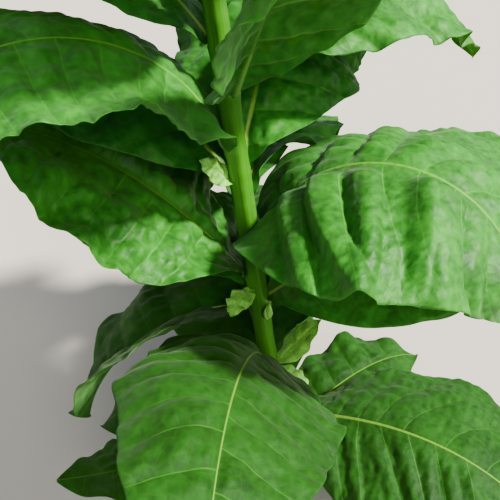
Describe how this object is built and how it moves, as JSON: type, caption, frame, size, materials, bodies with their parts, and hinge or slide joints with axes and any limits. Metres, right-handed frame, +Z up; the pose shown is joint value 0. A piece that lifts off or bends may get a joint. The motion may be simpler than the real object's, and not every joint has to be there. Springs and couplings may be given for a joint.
{
  "type": "tobacco plant",
  "caption": "Leafy tobacco plant in full leaf before flowering: one upright stem with large drooping ovate leaves in a spiral, small side shoots and a leafy top.",
  "frame": {"origin": "centre of the flat cut of the stem at ground level", "axes": "+Z up; -Y towards the viewer as the plant is seen from in front, with +X to the right"},
  "size_m": [0.774, 0.8545, 1.1547],
  "materials": {
    "stem": "ridged green stem with a slight sheen",
    "leaf": "soft green leaf blade with a pale yellow-green midrib and side veins",
    "young_leaf": "thin crinkled light green young leaf"
  },
  "bodies": {
    "root": {"stem": "stem", "leaf_01": "leaf", "leaf_02": "leaf", "leaf_03": "leaf", "leaf_04": "leaf", "leaf_05": "leaf", "leaf_06": "leaf", "leaf_07": "leaf", "leaf_08": "leaf", "leaf_09": "leaf", "leaf_10": "leaf", "leaf_11": "leaf", "leaf_12": "leaf", "leaf_13": "leaf", "leaf_14": "leaf", "leaf_15": "leaf", "leaf_16": "leaf", "leaf_17": "leaf", "leaf_18": "leaf", "leaf_19": "leaf", "leaf_20": "leaf", "leaf_21": "leaf", "leaf_22": "leaf", "leaf_23": "leaf", "leaf_24": "leaf", "leaf_25": "leaf", "leaf_26": "leaf", "leaf_27": "leaf", "leaf_28": "leaf", "leaf_29": "leaf", "leaf_30": "leaf", "leaf_31": "leaf", "leaf_32": "leaf", "leaf_33": "leaf", "leaf_34": "leaf", "leaf_35": "leaf", "shoot_1": "young_leaf", "shoot_2": "young_leaf", "shoot_3": "young_leaf", "shoot_4": "young_leaf", "axil_bud": "young_leaf"}
  },
  "joints": []
}
